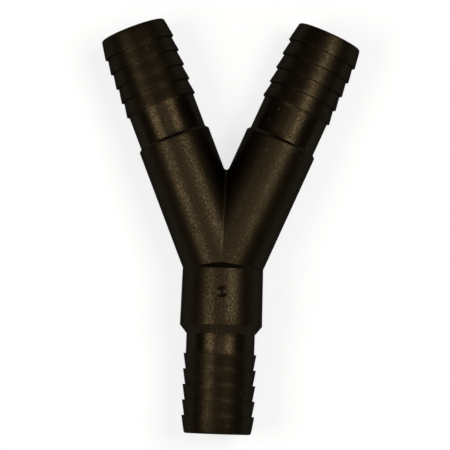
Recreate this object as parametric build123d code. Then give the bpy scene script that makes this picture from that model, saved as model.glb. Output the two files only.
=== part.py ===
from build123d import *
import os
from math import radians, tan

# A moulded Y connector for hose: one stem and two arms, each ending in a barbed hose tail.
# Frame: the origin is where the three centre-lines cross. The stem points along -Y, the arms lean to either
# side of +Y in the XY plane, and +Z is up when the fitting lies flat. All lengths are in millimetres, and
# "out" means away from the crossing along a leg's own centre-line.

# ---- bore, the same in all three legs
BORE_D = 14.5
MOUTH_CHAMFER = 0.4

# ---- hose tail, the same on all three legs
LAND_D = 19.3              # plain seat for the hose clip, between the body and the barbs
ROOT_D = 19.15             # foot of each barb
CREST_D = 20.5             # over the barbs
CREST_FLAT = 0.15          # narrow flat on top of each barb
BARB_COUNT = 5
BARB_PITCH = 4.37
TIP_CHAMFER = 0.45         # outer edge of the end

# ---- arms
ARM_LEAN = 22.65           # degrees between an arm and the stem's line
ARM_D = 20.85
ARM_BODY_LENGTH = 39.25    # from the crossing out to the shoulder
ARM_SHOULDER_SLOPE = 45.0  # degrees between the shoulder and the arm's line
ARM_LAND_LENGTH = 9.8
ARM_TIP_LENGTH = 5.5       # from the outermost barb's step to the end of the arm
CROTCH_ROUND = 0.8         # in the valley between the two arms

# ---- stem and its collar
COLLAR_TOP_D = 22.75
COLLAR_FOOT_D = 23.2
COLLAR_LENGTH = 15.95      # from the crossing down to the lower chamfer
COLLAR_TOP_SLOPE = 30.5    # degrees between the upper chamfer and the stem's line
COLLAR_FOOT_SLOPE = 39.0   # degrees between the lower chamfer and the stem's line
STEM_LAND_LENGTH = 5.6
STEM_TIP_LENGTH = 5.05     # from the outermost barb's step to the end of the stem

# ---- round gate mark on the collar's front: a shallow dish with a nub left in its middle
GATE_D = 3.0
GATE_NUB_D = 1.1
GATE_DEPTH = 0.25          # below the collar's surface
GATE_NUB_HEIGHT = 0.15     # above the dish's floor
GATE_DOWN = 6.7            # from the crossing to the mark's centre


def tail_outline(land_start, land_length, tip_length):
    """(radius, distance out) along a hose tail's outside, from the start of its land to its end."""
    first_step = land_start + land_length
    points = [(LAND_D / 2, land_start), (LAND_D / 2, first_step)]
    for barb in range(BARB_COUNT):
        step = first_step + barb * BARB_PITCH
        if barb > 0:
            points.append((ROOT_D / 2, step))
        points += [(CREST_D / 2, step), (CREST_D / 2, step + CREST_FLAT)]
    # the outermost barb's cone carries on past the place where another barb would start
    taper = (CREST_D - ROOT_D) / 2 / (BARB_PITCH - CREST_FLAT)
    last_step = first_step + (BARB_COUNT - 1) * BARB_PITCH
    points.append((CREST_D / 2 - taper * (tip_length - CREST_FLAT), last_step + tip_length))
    return points


def turned(outline):
    """The solid of revolution about +Y inside an outline of (radius, distance out) points."""
    first, last = outline[0], outline[-1]
    section = Polyline([(0, first[1]), *outline, (0, last[1])], close=True)
    return revolve(make_face(section), Axis.Y)


def leg(outline):
    """A leg along +Y with no bore, its end's outer edge chamfered."""
    blank = turned(outline)
    end_edge = blank.faces().sort_by(Axis.Y)[-1].edges()
    return chamfer(end_edge, TIP_CHAMFER)


def arm_outline():
    """An arm from the crossing out: plain body, shoulder, then hose tail."""
    shoulder = (ARM_D - LAND_D) / 2 / tan(radians(ARM_SHOULDER_SLOPE))
    body = [(ARM_D / 2, 0), (ARM_D / 2, ARM_BODY_LENGTH)]
    return body + tail_outline(ARM_BODY_LENGTH + shoulder, ARM_LAND_LENGTH, ARM_TIP_LENGTH)


def stem_outline():
    """The stem from inside the arms out: upper chamfer, tapered collar, lower chamfer, then hose tail."""
    rise = (COLLAR_TOP_D - BORE_D) / 2 / tan(radians(COLLAR_TOP_SLOPE))
    drop = (COLLAR_FOOT_D - LAND_D) / 2 / tan(radians(COLLAR_FOOT_SLOPE))
    collar = [(BORE_D / 2, -rise), (COLLAR_TOP_D / 2, 0), (COLLAR_FOOT_D / 2, COLLAR_LENGTH)]
    return collar + tail_outline(COLLAR_LENGTH + drop, STEM_LAND_LENGTH, STEM_TIP_LENGTH)


def bore(outline):
    """What one leg's core pin leaves open, from the crossing out past the chamfered mouth of that leg."""
    end = outline[-1][1]
    radius = BORE_D / 2
    past = MOUTH_CHAMFER  # the chamfer's cone goes on this far past the end
    return turned([(radius, 0), (radius, end - MOUTH_CHAMFER), (radius + MOUTH_CHAMFER + past, end + past)])


def gate_mark():
    """The dish cut at the gate, less the nub that stays in it."""
    share = GATE_DOWN / COLLAR_LENGTH
    surface = (COLLAR_TOP_D + share * (COLLAR_FOOT_D - COLLAR_TOP_D)) / 2
    centre = Plane((0, -GATE_DOWN, surface - GATE_DEPTH))
    up = (Align.CENTER, Align.CENTER, Align.MIN)
    dish = centre * Cylinder(GATE_D / 2, 2 * GATE_DEPTH, align=up)
    nub = centre * Cylinder(GATE_NUB_D / 2, GATE_NUB_HEIGHT, align=up)
    return dish - nub


def on_mirror_plane(edge):
    """Whether an edge lies in the plane that the two arms mirror each other across."""
    return edge.bounding_box().size.X < 1e-4 and abs(edge.center().X) < 1e-4


def y_connector():
    """The whole moulding."""
    stem_at = Rot(0, 0, 180)
    arms_at = [Rot(0, 0, ARM_LEAN), Rot(0, 0, -ARM_LEAN)]

    arm = leg(arm_outline())
    body = stem_at * leg(stem_outline()) + [place * arm for place in arms_at]
    body = fillet(body.edges().filter_by(on_mirror_plane), CROTCH_ROUND)

    arm_bore = bore(arm_outline())
    body -= [stem_at * bore(stem_outline())] + [place * arm_bore for place in arms_at]
    return body - gate_mark()


os.makedirs("parts", exist_ok=True)
export_step(y_connector(), "parts/y_connector.step")
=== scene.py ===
"""A black moulded hose Y connector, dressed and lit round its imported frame.

The skin is one closed surface. Each leg is a grid whose rows go round the leg and whose columns run out along
the leg, round its end and back down its bore. The legs' grids meet on shared curves: the arms at the round in
the valley between them, the collar on the curve where its upper chamfer cuts the arms, and the bores on their
mitres.
"""

import logging
import math
from dataclasses import dataclass, field
from enum import Enum
from functools import cached_property

import bpy
import numpy as np
from mathutils import Matrix, Vector

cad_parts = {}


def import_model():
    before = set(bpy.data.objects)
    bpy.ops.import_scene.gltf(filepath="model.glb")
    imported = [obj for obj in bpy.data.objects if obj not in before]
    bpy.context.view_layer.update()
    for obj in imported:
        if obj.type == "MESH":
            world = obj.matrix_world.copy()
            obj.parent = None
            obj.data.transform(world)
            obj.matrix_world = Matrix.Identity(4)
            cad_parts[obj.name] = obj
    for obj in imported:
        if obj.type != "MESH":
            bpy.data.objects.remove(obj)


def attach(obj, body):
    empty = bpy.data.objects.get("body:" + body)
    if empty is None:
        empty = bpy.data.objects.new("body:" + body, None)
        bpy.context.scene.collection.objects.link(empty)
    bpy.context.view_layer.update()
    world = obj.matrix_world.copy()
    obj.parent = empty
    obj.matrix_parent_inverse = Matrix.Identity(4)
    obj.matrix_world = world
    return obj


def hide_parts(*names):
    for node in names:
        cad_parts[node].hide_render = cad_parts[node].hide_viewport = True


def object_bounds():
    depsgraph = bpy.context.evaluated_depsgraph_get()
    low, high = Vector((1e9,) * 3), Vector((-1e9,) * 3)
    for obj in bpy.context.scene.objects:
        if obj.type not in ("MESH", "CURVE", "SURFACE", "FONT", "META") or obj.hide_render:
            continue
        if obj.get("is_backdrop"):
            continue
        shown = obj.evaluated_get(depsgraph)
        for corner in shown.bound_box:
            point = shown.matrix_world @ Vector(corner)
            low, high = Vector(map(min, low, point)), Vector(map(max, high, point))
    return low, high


log = logging.getLogger("y_connector")

MM = 0.001  # metres in a millimetre
WIDE_ROUND = 0.3  # a rounding above this many millimetres shows as a curve
WIDE_STEPS = 2.0  # times as many steps go into a rounding that shows as a curve
INNER_COSINE = 1e-9  # a column whose cosine is above this lies on its arm's inner half
WHITE = (1.0, 1.0, 1.0, 1.0)
Colour = tuple[float, float, float, float] | bpy.types.NodeSocket
NODE = "y_connector"


class Finish(Enum):
    """How the mould was made behind a stretch of the skin, as a number kept on its points."""

    SPARKED = 0.0  # spark-eroded cavity wall: fine grain
    SEAT = 1.0  # the plain lands, spark eroded more finely
    TURNED = 2.0  # turned cavity insert: shallower grain, faint rings


class Side(Enum):
    """Which of the two arms, as the sign of its x."""

    LEFT = -1.0
    RIGHT = 1.0


@dataclass(frozen=True)
class Corner:
    """A corner of a turned outline: its radius, how far out it is, its rounding and the finish past it."""

    radius: float
    out: float
    round: float = 0.0
    finish: Finish = Finish.SPARKED


def rounded_outline(corners: list[Corner], arc_step: float, longest: float) -> np.ndarray:
    """Rounds a turned outline's corners and divides its long straight runs.

    A corner of rounding r, where the outline turns by an angle a, becomes an arc of radius r that starts
    r * tan(a / 2) before the corner and ends as far after it.

    Args:
        corners: the outline's corners in order, in millimetres.
        arc_step: the most that one straight step of an arc turns, in degrees. On a wide arc it is less.
        longest: the longest straight step left on the outline, in millimetres.

    Returns:
        An array of rows (radius, out, finish).
    """
    place = np.array([(c.radius, c.out) for c in corners])
    run = np.diff(place, axis=0)
    length = np.linalg.norm(run, axis=1, keepdims=True)
    heading = run / length
    pieces = [np.array([[*place[0], corners[0].finish.value]])]
    for i, corner in enumerate(corners[1:-1], start=1):
        before, after = heading[i - 1], heading[i]
        turn = math.atan2(before[0] * after[1] - before[1] * after[0], before @ after)
        reach = corner.round * math.tan(abs(turn) / 2)
        if reach == 0.0:
            arc = place[i : i + 1]
        else:
            start = place[i] - before * reach
            inward = np.array([-before[1], before[0]]) * math.copysign(corner.round, turn)
            finer = WIDE_STEPS if corner.round > WIDE_ROUND else 1.0
            steps = math.ceil(math.degrees(abs(turn)) * finer / arc_step)
            swing = np.linspace(0.0, turn, steps + 1)[:, None]
            arc = start + inward - inward * np.cos(swing) + before * corner.round * np.sin(np.abs(swing))
        pieces.append(np.column_stack([arc, np.full(len(arc), corner.finish.value)]))
    pieces.append(np.array([[*place[-1], corners[-1].finish.value]]))
    points = np.vstack(pieces)

    gap = np.linalg.norm(np.diff(points[:, :2], axis=0), axis=1)
    shares = np.maximum(1, np.ceil(gap / longest)).astype(int)
    step = np.repeat(np.arange(len(gap)), shares)
    share = (np.arange(len(step)) - np.repeat(np.cumsum(shares) - shares, shares)) / np.repeat(shares, shares)
    inner = points[step] + (points[step + 1] - points[step]) * share[:, None]
    inner[:, 2] = points[step, 2]
    return np.vstack([inner, points[-1:]])


@dataclass(frozen=True)
class HoseTail:
    """The barbed end that a hose is pushed over, the same on all three legs. Sizes are in millimetres."""

    bore_d: float = 14.5
    mouth_chamfer: float = 0.4
    land_d: float = 19.3
    root_d: float = 19.15
    crest_d: float = 20.5
    crest_flat: float = 0.15
    barbs: int = 5
    pitch: float = 4.37
    land_round: float = 0.12
    root_round: float = 0.05
    edge_round: float = 0.06
    tip_round: float = 0.6
    mouth_round: float = 0.1

    def corners(self, land_start: float, land_length: float, tip: float) -> list[Corner]:
        """The tail's outline from the foot of its land, over its barbs, round its end and into its bore.

        Args:
            land_start: how far out the plain land starts.
            land_length: how long the land is.
            tip: from the outermost barb's step to the end.

        Returns:
            The outline's corners, the last of them where the straight bore begins.
        """
        first = land_start + land_length
        taper = (self.crest_d - self.root_d) / 2 / (self.pitch - self.crest_flat)
        found = [
            Corner(self.land_d / 2, land_start, self.land_round, Finish.SEAT),
            Corner(self.land_d / 2, first, self.root_round, Finish.TURNED),
        ]
        for barb in range(self.barbs):
            step = first + barb * self.pitch
            if barb:
                found.append(Corner(self.root_d / 2, step, self.root_round, Finish.TURNED))
            found.append(Corner(self.crest_d / 2, step, self.edge_round, Finish.TURNED))
            found.append(Corner(self.crest_d / 2, step + self.crest_flat, self.edge_round, Finish.TURNED))
        end = first + (self.barbs - 1) * self.pitch + tip
        end_radius = self.crest_d / 2 - taper * (tip - self.crest_flat)
        mouth = self.bore_d / 2 + self.mouth_chamfer
        return found + [
            Corner(end_radius, end, self.tip_round, Finish.TURNED),
            Corner(mouth, end, self.mouth_round, Finish.TURNED),
            Corner(self.bore_d / 2, end - self.mouth_chamfer, 0.0, Finish.TURNED),
        ]


@dataclass(frozen=True)
class Arm:
    """A plain round arm that ends in a hose tail. Sizes are in millimetres."""

    lean: float = 22.65
    d: float = 20.85
    body: float = 39.25
    shoulder_slope: float = 45.0
    shoulder_round: float = 0.15
    run_in: float = 1.0  # the stretch of the body before the shoulder that belongs to the outline
    land: float = 9.8
    tip: float = 5.5

    def land_start(self, tail: HoseTail) -> float:
        """How far out the land starts, past the shoulder."""
        return self.body + (self.d - tail.land_d) / 2 / math.tan(math.radians(self.shoulder_slope))

    def corners(self, tail: HoseTail) -> list[Corner]:
        """The arm's outline from a little short of its shoulder to the start of its bore."""
        return [
            Corner(self.d / 2, self.body - self.run_in),
            Corner(self.d / 2, self.body, self.shoulder_round),
            *tail.corners(self.land_start(tail), self.land, self.tip),
        ]


@dataclass(frozen=True)
class Stem:
    """The collared stem that ends in a hose tail. Sizes are in millimetres."""

    collar_top_d: float = 22.75
    collar_foot_d: float = 23.2
    collar: float = 15.95
    top_slope: float = 30.5
    foot_slope: float = 39.0
    rim_round: float = 0.2
    rim_share: float = 0.98  # of the rim's rounding, to keep its arc clear of the outline's first point
    foot_round: float = 0.2
    land: float = 5.6
    tip: float = 5.05

    def corners(self, tail: HoseTail) -> list[Corner]:
        """The stem's outline from the rim, where the upper chamfer starts, to the start of its bore."""
        drop = (self.collar_foot_d - tail.land_d) / 2 / math.tan(math.radians(self.foot_slope))
        rise = self.rim_round * math.tan(math.radians(self.top_slope) / 2)
        inset = rise * math.tan(math.radians(self.top_slope))
        return [
            Corner(self.collar_top_d / 2 - inset, -rise),
            Corner(self.collar_top_d / 2, 0.0, self.rim_round * self.rim_share),
            Corner(self.collar_foot_d / 2, self.collar, self.foot_round),
            *tail.corners(self.collar + drop, self.land, self.tip),
        ]


@dataclass(frozen=True)
class GateMark:
    """The round mark that the gate leaves on the collar's front: a bowl with a torn nub standing in it.

    Sizes are in millimetres.
    """

    d: float = 3.1
    depth: float = 0.5
    lip: float = 12.0  # how sharp the bowl's lip is: the inverse of the share of the depth that it eases
    down: float = 6.7
    nub_d: float = 0.85
    nub_height: float = 0.3
    nub_up: float = 0.2  # from the bowl's middle towards the arms
    nub_wall: float = 0.25  # how wide the nub's wall is, seen from the front
    nub_torn: float = 0.5  # how much higher than its mean the nub is at its torn side, as a share

    def sink(self, aside: np.ndarray, out: np.ndarray) -> np.ndarray:
        """How far the skin is sunk at points beside and along the collar's front line.

        The bowl's depth falls off as 1 - s^2 of the share s of its radius, eased to nothing past the lip by
        ln(1 + e^(k x)) / k. The nub's wall is a smooth step, 3t^2 - 2t^3 of its share t across the wall, and
        its torn top is higher on one side.
        """
        share = np.hypot(aside, out - self.down) / (self.d / 2)
        bowl = self.depth * np.logaddexp(0.0, self.lip * (1.0 - share**2)) / self.lip
        off_nub = np.hypot(aside, out - self.down + self.nub_up)
        climb = np.clip((self.nub_d / 2 - off_nub) / self.nub_wall + 0.5, 0.0, 1.0)
        torn = 1.0 + self.nub_torn * np.clip((aside - out + self.down) / self.nub_d, -1.0, 1.0)
        return bowl - self.nub_height * torn * climb * climb * (3.0 - 2.0 * climb)


@dataclass(frozen=True)
class PartingLine:
    """The hairline ridge where the mould's halves meet, in the plane z = 0. Sizes are in millimetres."""

    height: float = 0.035
    half_width: float = 0.11
    run_in: float = 1 / 30  # the share of an arm's body over which it rises from nothing
    off_bore: float = 0.5  # how far it stays clear of the bore's wall

    def stand(self, aside: np.ndarray) -> np.ndarray:
        """How far the skin stands proud at a distance from the line: height * (1 - |aside| / half_width)."""
        return self.height * np.clip(1.0 - np.abs(aside) / self.half_width, 0.0, 1.0)


@dataclass
class Skin:
    """A pile of point grids that become one welded mesh."""

    points: list[np.ndarray] = field(default_factory=list)
    faces: list[np.ndarray] = field(default_factory=list)
    marks: list[np.ndarray] = field(default_factory=list)
    count: int = 0

    def add(self, grid: np.ndarray, marks: np.ndarray, closed: bool, flip: bool) -> None:
        """Adds a grid of points as quads.

        Args:
            grid: rows by columns by (x, y, z), in millimetres.
            marks: rows by columns by (out, finish), kept on the points for the material.
            closed: whether the last column joins the first.
            flip: whether the quads are wound the other way, to face outwards.
        """
        rows, columns = grid.shape[:2]
        index = np.arange(rows * columns).reshape(rows, columns) + self.count
        right = np.roll(index, -1, axis=1) if closed else index[:, 1:]
        left = index if closed else index[:, :-1]
        quads = np.stack([left[:-1], right[:-1], right[1:], left[1:]], axis=-1).reshape(-1, 4)
        self.faces.append(quads[:, ::-1] if flip else quads)
        self.points.append(grid.reshape(-1, 3))
        self.marks.append(marks.reshape(-1, 2))
        self.count += rows * columns

    def mesh(self, name: str, weld: float, sharp_from: float) -> bpy.types.Object:
        """Welds the grids where they meet and makes them one object.

        Points that share a cell of the weld's size are one point, and a quad that loses a corner to the
        weld becomes a triangle.

        Args:
            name: the object's name.
            weld: the weld's size, in millimetres.
            sharp_from: edges that turn by more than this many degrees stay sharp.

        Returns:
            The object, at the origin, in metres.
        """
        points = np.vstack(self.points)
        marks = np.vstack(self.marks)
        _, first, merged = np.unique(np.round(points / weld), axis=0, return_index=True, return_inverse=True)
        quads = merged.reshape(-1)[np.vstack(self.faces)]
        same = quads == np.roll(quads, -1, axis=1)
        whole = quads[~same.any(axis=1)]
        pinched = same.sum(axis=1) == 1
        triangles = quads[pinched][~same[pinched]].reshape(-1, 3)

        mesh = bpy.data.meshes.new(name)
        mesh.from_pydata(points[first] * MM, [], whole.tolist() + triangles.tolist())
        out, finish = marks[first].T
        layers = {"out_mm": out, "seat": finish == Finish.SEAT.value, "turned": finish == Finish.TURNED.value}
        for label, values in layers.items():
            layer = mesh.attributes.new(label, "FLOAT", "POINT")
            layer.data.foreach_set("value", values.astype(np.float32))
        mesh.shade_smooth()
        mesh.set_sharp_from_angle(angle=math.radians(sharp_from))
        mesh.validate()
        piece = bpy.data.objects.new(name, mesh)
        bpy.context.scene.collection.objects.link(piece)
        return piece


@dataclass
class YConnector:
    """The whole moulding: two mirrored arms, the collared stem and the passage through all three.

    Sizes are in millimetres, angles in degrees.
    """

    tail: HoseTail = HoseTail()
    arm: Arm = Arm()
    stem: Stem = Stem()
    gate: GateMark = GateMark()
    parting: PartingLine = PartingLine()
    crotch_round: float = 0.8
    crotch_steps: int = 6
    coarse_step: float = 2.8  # between columns
    fine_step: float = 0.5  # between columns across the gate mark
    fine_half: float = 9.2  # either side of the front line, where the columns are fine
    body_rows: int = 26
    bore_rows: int = 10
    chamfer_rows: int = 4
    gate_rows: int = 40
    arc_step: float = 23.0
    longest: float = 1.6  # between rows
    weld: float = 0.001
    sharp_from: float = 25.0

    @cached_property
    def angles(self) -> np.ndarray:
        """The columns' angles round the stem in degrees, from +X through the front at 90, mirrored in x = 0.

        They are evenly spaced, closer together across the gate mark, and closer still beside z = 0, where the
        parting line has a column along its ridge and one at each foot.
        """
        fine = np.arange(self.fine_step, self.fine_half, self.fine_step)
        front = np.linspace(self.fine_half, 90.0, round((90.0 - self.fine_half) / self.coarse_step))
        back = np.linspace(0.0, 90.0, round(90.0 / self.coarse_step) + 1)
        foot = math.degrees(self.parting.half_width / (self.tail.land_d / 2))
        from_front = np.concatenate([fine, front[:-1], [90.0 - foot, 90.0, 90.0 + foot], 90.0 + back[1:-1]])
        return np.concatenate([[90.0], 90.0 + from_front, [270.0], 270.0 + (180.0 - from_front[::-1])])

    @cached_property
    def beta(self) -> float:
        """The arms' lean in radians."""
        return math.radians(self.arm.lean)

    @cached_property
    def peak(self) -> float:
        """How far up the mirror plane the collar's chamfer reaches, where both arms and the chamfer meet."""
        return float(self.chamfer_reach(np.array([90.0]))[0])

    def chamfer_reach(self, angle: np.ndarray) -> np.ndarray:
        """How high above the rim the collar's chamfer meets an arm, at angles round the stem.

        Along one line of the cone the radius is R - m * y. Its point lies on the arm's cylinder where the
        square of its distance from the arm's axis is the square of the arm's radius, which is a quadratic
        in y, and the lower root is where the line enters the arm.
        """
        theta = np.radians(angle)
        rim, m = self.stem.collar_top_d / 2, math.tan(math.radians(self.stem.top_slope))
        across, up = np.abs(np.cos(theta)), np.sin(theta)
        u0, u1 = rim * across * math.cos(self.beta), -(m * across * math.cos(self.beta) + math.sin(self.beta))
        v0, v1 = rim * up, -m * up
        a = u1**2 + v1**2
        b = 2.0 * (u0 * u1 + v0 * v1)
        c = u0**2 + v0**2 - (self.arm.d / 2) ** 2
        return (-b - np.sqrt(b**2 - 4.0 * a * c)) / (2.0 * a)

    def stem_point(self, radius: np.ndarray, out: np.ndarray, angle: np.ndarray) -> np.ndarray:
        """Points at a radius, a distance out along -Y and an angle in degrees round the stem."""
        theta = np.radians(angle)
        radius, out, theta = np.broadcast_arrays(radius, out, theta)
        return np.stack([radius * np.cos(theta), -out, radius * np.sin(theta)], axis=-1)

    def arm_point(self, radius: np.ndarray, out: np.ndarray, angle: np.ndarray, side: Side) -> np.ndarray:
        """Points at a radius, a distance out and an angle in degrees round an arm, 180 on its outer flank."""
        phi = np.radians(angle)
        radius, out, phi = np.broadcast_arrays(radius, out, phi)
        inward = radius * np.cos(phi)
        x = out * math.sin(self.beta) - inward * math.cos(self.beta)
        y = out * math.cos(self.beta) + inward * math.sin(self.beta)
        return np.stack([side.value * x, y, radius * np.sin(phi)], axis=-1)

    def arm_start(self) -> tuple[np.ndarray, np.ndarray]:
        """Where each column of an arm starts: its angle round the arm in degrees, and how far out.

        On the outer half a column starts on the collar's chamfer. On the inner half it starts where the round
        in the valley between the arms touches it. A ball of radius r that rolls along the valley has its
        centre on the mirror plane at the arm's radius R plus r from both axes, so it touches the arm at the
        same angle, (R + r) * cos(angle) / tan(lean) out.
        """
        angle = 180.0 - self.angles
        height = self.chamfer_reach(self.angles)
        radius = self.stem.collar_top_d / 2 - height * math.tan(math.radians(self.stem.top_slope))
        theta = np.radians(self.angles)
        x, z = radius * np.abs(np.cos(theta)), radius * np.sin(theta)
        outward = x * math.cos(self.beta) - height * math.sin(self.beta)
        out = x * math.sin(self.beta) + height * math.cos(self.beta)
        start = np.degrees(np.arctan2(z, -outward))

        inner = np.cos(np.radians(angle)) > INNER_COSINE
        at_peak = np.degrees(math.acos(self.peak * math.sin(self.beta) / (self.arm.d / 2)))
        signed = (angle + 180.0) % 360.0 - 180.0
        squeezed = signed * at_peak / 90.0
        touch = (self.arm.d / 2 + self.crotch_round) * np.cos(np.radians(squeezed)) / math.tan(self.beta)
        return np.where(inner, squeezed, start), np.where(inner, touch, out)

    def bore_start(self, angle: np.ndarray) -> np.ndarray:
        """How far out the bore's wall starts in an arm: on the mirror plane inside, on the mitre outside."""
        inward = self.tail.bore_d / 2 * np.cos(np.radians(angle))
        return np.where(inward > 0, inward / math.tan(self.beta), -inward * math.tan(self.beta / 2))

    def lay_arm(self, skin: Skin, side: Side) -> None:
        """Lays one arm's skin, from where it leaves the body to where its bore meets the others.

        A column's angle runs evenly from its angle at the start to its own angle at the shoulder, and every
        point stays on the arm's round surface.
        """
        outline = rounded_outline(self.arm.corners(self.tail), self.arc_step, self.longest)
        angle = 180.0 - self.angles
        start_angle, start_out = self.arm_start()
        turn = (angle - start_angle + 180.0) % 360.0 - 180.0
        share = np.linspace(0.0, 1.0, self.body_rows, endpoint=False)[:, None]
        body_angle = start_angle + turn * share
        body_out = start_out + (outline[0, 1] - start_out) * share
        ridge = self.parting.stand(self.arm.d / 2 * np.sin(np.radians(angle)))
        ridge = np.where(np.cos(np.radians(angle)) < 0, ridge, 0.0)
        rise = np.minimum(share / self.parting.run_in, 1.0)
        body = self.arm_point(self.arm.d / 2 + ridge * rise, body_out, body_angle, side)

        bore_share = np.linspace(0.0, 1.0, self.bore_rows)[1:, None]
        bore_out = outline[-1, 1] + (self.bore_start(angle) - outline[-1, 1]) * bore_share
        bore = self.arm_point(self.tail.bore_d / 2, bore_out, angle, side)

        tail = self.arm_point(self.with_ridge(outline, angle), outline[:, 1:2], angle, side)
        self.lay(skin, [body, tail, bore], [body_out, outline[:, 1:2], bore_out], outline, side is Side.RIGHT)

    def with_ridge(self, outline: np.ndarray, angle: np.ndarray) -> np.ndarray:
        """An outline's radii at each angle, with the parting line's ridge on the outside of the leg."""
        ridge = self.parting.stand(outline[:, :1] * np.sin(np.radians(angle)))
        before_tip = outline[:, 1:2] < outline[:, 1].max() - self.tail.tip_round
        outside = outline[:, :1] > self.tail.bore_d / 2 + self.parting.off_bore
        return outline[:, :1] + ridge * (before_tip & outside)

    def lay_stem(self, skin: Skin) -> None:
        """Lays the stem's skin, from the curve where its chamfer meets the arms to the bores' mitres."""
        outline = rounded_outline(self.stem.corners(self.tail), self.arc_step, self.longest)
        outline = self.with_gate_rows(outline)
        reach = self.chamfer_reach(self.angles)
        share = np.linspace(0.0, 1.0, self.chamfer_rows, endpoint=False)[:, None]
        top_out = -reach + (outline[0, 1] + reach) * share
        top_radius = self.stem.collar_top_d / 2 + top_out * math.tan(math.radians(self.stem.top_slope))
        top = self.stem_point(top_radius, top_out, self.angles)

        bore_share = np.linspace(0.0, 1.0, self.bore_rows)[1:, None]
        mitre = self.tail.bore_d / 2 * np.abs(np.cos(np.radians(self.angles))) * math.tan(self.beta / 2)
        bore_out = outline[-1, 1] + (mitre - outline[-1, 1]) * bore_share
        bore = self.stem_point(self.tail.bore_d / 2, bore_out, self.angles)

        radius = self.with_ridge(outline, self.angles)
        aside = radius * np.cos(np.radians(self.angles))
        front = (np.sin(np.radians(self.angles)) > 0) & (outline[:, 1:2] < self.stem.collar)
        sunk = radius - np.where(front, self.gate.sink(aside, outline[:, 1:2]), 0.0)
        tail = self.stem_point(sunk, outline[:, 1:2], self.angles)
        self.lay(skin, [top, tail, bore], [top_out, outline[:, 1:2], bore_out], outline, False)

    def with_gate_rows(self, outline: np.ndarray) -> np.ndarray:
        """The stem's outline with close rows across the gate mark, on the collar's straight taper."""
        half = self.gate.d / 2 + self.gate.nub_wall
        rows = np.linspace(self.gate.down - half, self.gate.down + half, self.gate_rows)
        taper = (self.stem.collar_foot_d - self.stem.collar_top_d) / 2 / self.stem.collar
        finish = np.full(len(rows), Finish.SPARKED.value)
        added = np.column_stack([self.stem.collar_top_d / 2 + taper * rows, rows, finish])
        first = np.argmax(outline[:, 1] >= rows[0])
        last = np.argmax(outline[:, 1] >= rows[-1])
        return np.vstack([outline[:first], added, outline[last:]])

    def lay(
        self, skin: Skin, grids: list[np.ndarray], outs: list[np.ndarray], outline: np.ndarray, flip: bool
    ) -> None:
        """Joins a leg's body, tail and bore rows into one grid, with its distances out and finishes.

        Args:
            skin: where the grid goes.
            grids: the points of the body, tail and bore rows.
            outs: how far out those rows are.
            outline: the tail's outline, whose third column is its finish.
            flip: whether the grid's quads are turned over.
        """
        columns = len(self.angles)
        bore = np.full(len(grids[2]), Finish.TURNED.value)
        finish = [np.full(len(grids[0]), Finish.SPARKED.value), outline[:, 2], bore]
        far = np.vstack([np.broadcast_to(out, (len(grid), columns)) for out, grid in zip(outs, grids)])
        kind = np.repeat(np.concatenate(finish)[:, None], columns, axis=1)
        skin.add(np.concatenate(grids), np.stack([far, kind], axis=-1), True, flip)

    def lay_valley(self, skin: Skin) -> None:
        """Lays the round in the valley between the arms.

        Each column swings from one arm to the other on an arc round the rolling ball's centre. The columns at
        both ends shrink to the points where the arms and the collar's chamfer meet.
        """
        start_angle, start_out = self.arm_start()
        inner = np.flatnonzero(np.cos(np.radians(180.0 - self.angles)) > INNER_COSINE)
        front_and_back = [np.flatnonzero(np.isclose(self.angles, angle))[0] for angle in (90.0, 270.0)]
        radius = self.arm.d / 2
        right = self.arm_point(radius, start_out[inner], start_angle[inner], Side.RIGHT)
        centre = self.arm_point(radius + self.crotch_round, start_out[inner], start_angle[inner], Side.RIGHT)
        reach = right - centre
        half = np.arctan2(reach[:, 0], np.hypot(reach[:, 1], reach[:, 2]))
        middle = np.stack([np.zeros(len(inner)), reach[:, 1], reach[:, 2]], axis=-1)
        middle *= self.crotch_round / np.linalg.norm(middle, axis=1, keepdims=True)
        swing = np.linspace(1.0, -1.0, self.crotch_steps + 1)[:, None] * half
        strip = centre + middle * np.cos(swing)[..., None]
        strip[..., 0] = self.crotch_round * np.sin(swing)
        ends = self.arm_point(radius, start_out[front_and_back], start_angle[front_and_back], Side.RIGHT)
        ends[:, 0] = 0.0
        ends = np.broadcast_to(ends, (self.crotch_steps + 1, 2, 3))
        grid = np.concatenate([ends[:, :1], strip, ends[:, 1:]], axis=1)
        marks = np.zeros((*grid.shape[:2], 2))
        skin.add(grid, marks, False, False)

    def build(self) -> bpy.types.Object:
        """Builds the whole skin as one closed mesh."""
        skin = Skin()
        self.lay_stem(skin)
        self.lay_arm(skin, Side.RIGHT)
        self.lay_arm(skin, Side.LEFT)
        self.lay_valley(skin)
        return skin.mesh("connector_skin", self.weld, self.sharp_from)


def linear(hex_code: str) -> tuple[float, float, float, float]:
    """An sRGB hex colour as linear red, green, blue and alpha."""
    parts = [int(hex_code[i : i + 2], 16) / 255.0 for i in (1, 3, 5)]
    curve = [c / 12.92 if c <= 0.04045 else ((c + 0.055) / 1.055) ** 2.4 for c in parts]
    return (curve[0], curve[1], curve[2], 1.0)


def add_node(tree: bpy.types.NodeTree, kind: str, inputs: dict | None = None, **settings) -> bpy.types.Node:
    """Adds a shader node.

    Args:
        tree: the node tree that it goes into.
        kind: the node's type name, without the word ShaderNode.
        inputs: by socket name or number, either a value or another node's output to link.
        settings: properties of the node itself.

    Returns:
        The node.
    """
    node = tree.nodes.new("ShaderNode" + kind)
    for name, value in settings.items():
        setattr(node, name, value)
    for name, value in (inputs or {}).items():
        if isinstance(value, bpy.types.NodeSocket):
            tree.links.new(value, node.inputs[name])
        else:
            node.inputs[name].default_value = value
    return node


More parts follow.
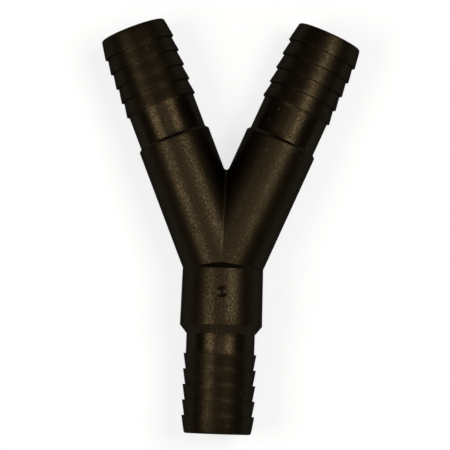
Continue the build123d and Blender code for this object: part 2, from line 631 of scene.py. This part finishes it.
def calculate(
    tree: bpy.types.NodeTree, operation: str, *values: float | bpy.types.NodeSocket
) -> bpy.types.NodeSocket:
    """Adds an operation on one to three numbers or sockets, and gives its result."""
    return add_node(tree, "Math", dict(enumerate(values)), operation=operation).outputs["Value"]


def ramp(
    tree: bpy.types.NodeTree,
    value: bpy.types.NodeSocket,
    span: tuple[float, float],
    ends: tuple[float, float],
    **settings,
) -> bpy.types.NodeSocket:
    """Adds a ramp that runs between its ends while a value runs through its span, and gives its result."""
    inputs = {"Value": value, "From Min": span[0], "From Max": span[1], "To Min": ends[0], "To Max": ends[1]}
    return add_node(tree, "MapRange", inputs, **settings).outputs["Result"]


def blend(
    tree: bpy.types.NodeTree, share: bpy.types.NodeSocket, first: Colour, second: Colour
) -> bpy.types.NodeSocket:
    """Adds a mix that goes from the first colour to the second with a share, and gives its result."""
    inputs = {"Factor": share, "A": first, "B": second}
    return add_node(tree, "Mix", inputs, data_type="RGBA").outputs["Result"]


def new_material(name: str) -> bpy.types.Material:
    """Makes a material with an empty node tree."""
    made = bpy.data.materials.new(name)
    made.use_nodes = True
    made.node_tree.nodes.clear()
    return made


@dataclass(frozen=True)
class MouldedNylon:
    """Black glass-filled nylon, injection moulded. Sizes are in millimetres.

    The cavity was spark eroded, so the plain stretches carry a fine grain that glitters a little under a
    lamp, and more beside the gate, where the melt came in. The barbs come from turned inserts, so they are
    smoother, with faint rings. A few pale flecks painted into the colour stand in for glints. The gloss is
    dull and a little warm, and a thin dark skin of resin takes light away at a slant.
    """

    colour: str = "#0B0906"
    paler: str = "#100D09"
    mottle: float = 6.0  # across the faint cloudiness
    mottle_roughness: float = 0.16  # how far the roughness varies with it
    # the colour of the painted glints: pale flecks in the base colour that stand in for glints under any lamp
    painted_glint: str = "#7C6D50"
    painted_glint_spacing: float = 3.0
    painted_glint_edge: tuple[float, float] = (0.03, 0.085)  # where a painted glint fades, as shares of their spacing

    gloss_dim: str = "#C29A66"  # the gloss of the dullest grains
    gloss_bright: str = "#FFE8BA"  # and of the brightest
    specular: float = 0.86
    roughness: float = 0.405
    seat_roughness: float = 0.32
    turned_roughness: float = 0.40

    grain: float = 0.40  # between the grain's hills, coarser than real so that it shows
    grain_height: float = 0.02
    grain_span: tuple[float, float] = (0.36, 0.64)  # the noise from its brightest grains to its dullest
    turned_grain: float = 0.45  # how much of the grain's height is left on the turned parts
    glitter: float = 0.17  # how far the roughness varies from grain to grain
    blush: float = 0.55  # how much more it varies where the melt came in
    blush_at: tuple[float, float, float] = (0.0, -8.6, 11.4)  # on the skin, a little below the gate mark
    blush_edge: tuple[float, float] = (2.5, 5.5)  # where it fades, from that place

    ring_spacing: float = 0.35  # between the turned inserts' rings
    ring_height: float = 0.002

    skin_tint: str = "#99958D"  # the resin-rich skin, which swallows light that crosses it at a slant
    skin_ior: float = 1.02
    skin_roughness: float = 0.5

    def material(self) -> bpy.types.Material:
        """Builds the material on object coordinates in millimetres."""
        made = new_material("black_glass_filled_nylon")
        tree = made.node_tree
        scaled = {"Vector": add_node(tree, "TexCoord").outputs["Object"], "Scale": (1 / MM, 1 / MM, 1 / MM)}
        place = add_node(tree, "Mapping", scaled).outputs["Vector"]
        turned, seat, out = (
            add_node(tree, "Attribute", attribute_name=name).outputs["Fac"]
            for name in ("turned", "seat", "out_mm")
        )

        grain = self.noise(tree, place, self.grain, detail=2.0, roughness=0.6)
        cloud = self.noise(tree, place, self.mottle, detail=3.0, roughness=0.55)
        # painted glints: sparse pale flecks in the base colour, on a cell pattern, standing in for glints
        cell = add_node(tree, "TexVoronoi", {"Vector": place, "Scale": 1 / self.painted_glint_spacing}, feature="F1")
        painted_glint = ramp(tree, cell.outputs["Distance"], self.painted_glint_edge, (1.0, 0.0))
        colour = blend(tree, cloud, linear(self.colour), linear(self.paler))
        colour = blend(tree, painted_glint, colour, linear(self.painted_glint))

        sparkle = self.sparkle(tree, place, grain)
        glint = calculate(tree, "ADD", sparkle, 0.5)
        shader = add_node(
            tree,
            "BsdfPrincipled",
            {
                "Base Color": colour,
                "Roughness": self.rough(tree, turned, seat, cloud, sparkle),
                "Normal": self.relief(tree, turned, out, grain),
                "Specular IOR Level": self.specular,
                "Specular Tint": blend(tree, glint, linear(self.gloss_dim), linear(self.gloss_bright)),
                "Coat Weight": 1.0,
                "Coat IOR": self.skin_ior,
                "Coat Roughness": self.skin_roughness,
                "Coat Tint": linear(self.skin_tint),
            },
        )
        add_node(tree, "OutputMaterial", {"Surface": shader.outputs["BSDF"]})
        return made

    def noise(
        self,
        tree: bpy.types.NodeTree,
        place: bpy.types.NodeSocket,
        spacing: float,
        detail: float,
        roughness: float,
    ) -> bpy.types.NodeSocket:
        """Adds a cloudy noise whose hills are a spacing apart."""
        inputs = {"Vector": place, "Scale": 1 / spacing, "Detail": detail, "Roughness": roughness}
        return add_node(tree, "TexNoise", inputs).outputs["Fac"]

    def sparkle(
        self, tree: bpy.types.NodeTree, place: bpy.types.NodeSocket, grain: bpy.types.NodeSocket
    ) -> bpy.types.NodeSocket:
        """Adds how much brighter than the mean each grain is, from -0.5 to 0.5 and more by the gate."""
        bright = ramp(tree, grain, self.grain_span, (1.0, 0.0))
        away = add_node(tree, "VectorMath", {0: place, 1: self.blush_at}, operation="DISTANCE")
        lift = (1.0 + self.blush, 1.0)
        lively = ramp(tree, away.outputs["Value"], self.blush_edge, lift, interpolation_type="SMOOTHSTEP")
        return calculate(tree, "MULTIPLY", calculate(tree, "SUBTRACT", bright, 0.5), lively)

    def rough(
        self,
        tree: bpy.types.NodeTree,
        turned: bpy.types.NodeSocket,
        seat: bpy.types.NodeSocket,
        cloud: bpy.types.NodeSocket,
        sparkle: bpy.types.NodeSocket,
    ) -> bpy.types.NodeSocket:
        """Adds the roughness: its level on each finish, the cloudiness about that level and the glitter."""
        parts = (
            (turned, self.turned_roughness - self.roughness),
            (seat, self.seat_roughness - self.roughness),
            (cloud, self.mottle_roughness),
            (sparkle, -self.glitter),
        )
        rough = self.roughness - self.mottle_roughness / 2
        for share, change in parts:
            rough = calculate(tree, "MULTIPLY_ADD", share, change, rough)
        return rough

    def relief(
        self,
        tree: bpy.types.NodeTree,
        turned: bpy.types.NodeSocket,
        out: bpy.types.NodeSocket,
        grain: bpy.types.NodeSocket,
    ) -> bpy.types.NodeSocket:
        """Adds the bump of the grain, weaker on the turned parts, and of their rings."""
        depth = ramp(tree, turned, (0.0, 1.0), (1.0, self.turned_grain))
        inputs = {"Height": grain, "Strength": depth, "Distance": self.grain_height * MM}
        bump = add_node(tree, "Bump", inputs).outputs["Normal"]
        rings = calculate(tree, "SINE", calculate(tree, "MULTIPLY", out, 2 * math.pi / self.ring_spacing))
        rings = calculate(tree, "MULTIPLY", rings, turned)
        inputs = {"Height": rings, "Strength": 1.0, "Distance": self.ring_height * MM, "Normal": bump}
        return add_node(tree, "Bump", inputs).outputs["Normal"]


@dataclass(frozen=True)
class PaperSweep:
    """Matt white paper under the part. The eye and gloss see it nearly white, and it keeps soft shadows."""

    colour: str = "#F2F1EE"
    roughness: float = 0.5
    glow: float = 0.75  # share of plain white that the eye, gloss and clear things see

    def material(self) -> bpy.types.Material:
        """Builds the paper's material."""
        made = new_material("matt_white_paper")
        tree = made.node_tree
        path = add_node(tree, "LightPath").outputs
        seen = calculate(tree, "MAXIMUM", path["Is Camera Ray"], path["Is Glossy Ray"])
        seen = calculate(tree, "MAXIMUM", seen, path["Is Transmission Ray"])
        share = calculate(tree, "MULTIPLY", seen, self.glow)
        paper = add_node(tree, "BsdfDiffuse", {"Color": linear(self.colour), "Roughness": self.roughness})
        white = add_node(tree, "Emission", {"Color": WHITE, "Strength": 1.0})
        shaders = {0: share, 1: paper.outputs["BSDF"], 2: white.outputs["Emission"]}
        mixed = add_node(tree, "MixShader", shaders)
        add_node(tree, "OutputMaterial", {"Surface": mixed.outputs["Shader"]})
        return made


@dataclass(frozen=True)
class SoftLamp:
    """A soft white lamp that faces the crossing. Sizes are in millimetres, angles in degrees."""

    name: str
    aside: float  # from straight above, towards +X
    ahead: float  # from straight above, towards +Y
    distance: float
    size: float
    length: float
    watts: float

    def hang(self) -> None:
        """Hangs the lamp and turns it to the point where the part's centre-lines cross."""
        light = bpy.data.lights.new(self.name, "AREA")
        light.shape = "RECTANGLE"
        light.size, light.size_y = self.size * MM, self.length * MM
        light.energy = self.watts
        lamp = bpy.data.objects.new(self.name, light)
        bpy.context.scene.collection.objects.link(lamp)
        aside, ahead = math.tan(math.radians(self.aside)), math.tan(math.radians(self.ahead))
        way = Vector((aside, ahead, 1.0)).normalized()
        lamp.location = way * self.distance * MM
        lamp.rotation_mode = "QUATERNION"
        lamp.rotation_quaternion = way.to_track_quat("Z", "Y")


@dataclass(frozen=True)
class Studio:
    """The floor, the lamps and the camera. Sizes are in millimetres, angles in degrees."""

    floor_reach: float = 900.0
    floor_gap: float = 0.02  # under the part's lowest point
    ambient: float = 0.085
    lens: float = 237.0
    sensor: float = 36.0
    clip: tuple[float, float] = (10.0, 20000.0)
    distance: float = 838.7  # from the camera to the level of the centre-lines' crossing
    tip_back: float = -3.3  # turn about the view's own right
    swing: float = -0.65  # turn about the view's own up
    roll: float = -2.01  # turn about the line of sight
    right: float = -0.585  # where the crossing stands in the view, from its middle
    up: float = -12.58
    lamps: tuple[SoftLamp, ...] = (
        SoftLamp("left_lamp", -35.0, -6.0, 700.0, 340.0, 300.0, 2.65),
        SoftLamp("right_lamp", 28.5, 10.0, 700.0, 360.0, 300.0, 3.4),
        SoftLamp("top_lamp", -2.0, 3.5, 700.0, 200.0, 200.0, 0.45),
        SoftLamp("low_lamp", 0.0, -74.0, 700.0, 1000.0, 200.0, 1.6),
    )

    def lay_floor(self, cad_box: tuple[Vector, Vector], connector: YConnector) -> None:
        """Lays the paper where the part rests: under the collar's foot and the arms' outermost barbs."""
        tail, arm, stem = connector.tail, connector.arm, connector.stem
        last_step = arm.land_start(tail) + arm.land + (tail.barbs - 1) * tail.pitch
        far = last_step * math.cos(connector.beta)
        rise = (stem.collar_foot_d - tail.crest_d) / 2
        slope = rise / (far + stem.collar)
        reach = self.floor_reach * MM
        low = cad_box[0].z - self.floor_gap * MM
        corners = [(-reach, -reach), (reach, -reach), (reach, reach), (-reach, reach)]
        points = [(x, y, low + (y + stem.collar * MM) * slope) for x, y in corners]
        mesh = bpy.data.meshes.new("floor")
        mesh.from_pydata(points, [], [(0, 1, 2, 3)])
        floor = bpy.data.objects.new("floor", mesh)
        floor.data.materials.append(PaperSweep().material())
        bpy.context.scene.collection.objects.link(floor)
        floor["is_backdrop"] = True

    def light_world(self) -> None:
        """Lights the room with a low plain light from all round."""
        world = bpy.data.worlds.new("room")
        bpy.context.scene.world = world
        world.use_nodes = True
        tree = world.node_tree
        tree.nodes.clear()
        room = add_node(tree, "Background", {"Color": WHITE, "Strength": self.ambient})
        add_node(tree, "OutputWorld", {"Surface": room.outputs["Background"]})

    def set_camera(self) -> None:
        """Sets the camera above the part, looking nearly straight down.

        A point p of the part stands at R p + t in the view, where R turns about the view's up, its right and
        the line of sight, so the camera stands at -R' t and is turned by R', the inverse of R.
        """
        turn = (
            Matrix.Rotation(math.radians(self.tip_back), 3, "X")
            @ Matrix.Rotation(math.radians(self.swing), 3, "Y")
            @ Matrix.Rotation(math.radians(self.roll), 3, "Z")
        )
        back = turn.transposed()
        data = bpy.data.cameras.new("camera")
        data.lens, data.sensor_width = self.lens, self.sensor
        data.clip_start, data.clip_end = self.clip[0] * MM, self.clip[1] * MM
        camera = bpy.data.objects.new("camera", data)
        bpy.context.scene.collection.objects.link(camera)
        camera.location = back @ Vector((-self.right, -self.up, self.distance)) * MM
        camera.rotation_mode = "QUATERNION"
        camera.rotation_quaternion = back.to_quaternion()
        bpy.context.scene.camera = camera

    def build(self, cad_box: tuple[Vector, Vector], connector: YConnector) -> None:
        """Builds the whole studio."""
        self.lay_floor(cad_box, connector)
        self.light_world()
        for lamp in self.lamps:
            lamp.hang()
        self.set_camera()
        bpy.context.scene.view_settings.view_transform = "Standard"


def main() -> None:
    """Builds the connector and its studio, and says what was made."""
    logging.basicConfig(level=logging.INFO, format="%(name)s: %(message)s")
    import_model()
    cad_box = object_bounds()
    connector = YConnector()
    piece = connector.build()
    piece.data.materials.append(MouldedNylon().material())
    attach(piece, "root")
    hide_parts(NODE)
    Studio().build(cad_box, connector)
    log.info("%s: %d faces", piece.name, len(piece.data.polygons))


if __name__ == "__main__":
    main()
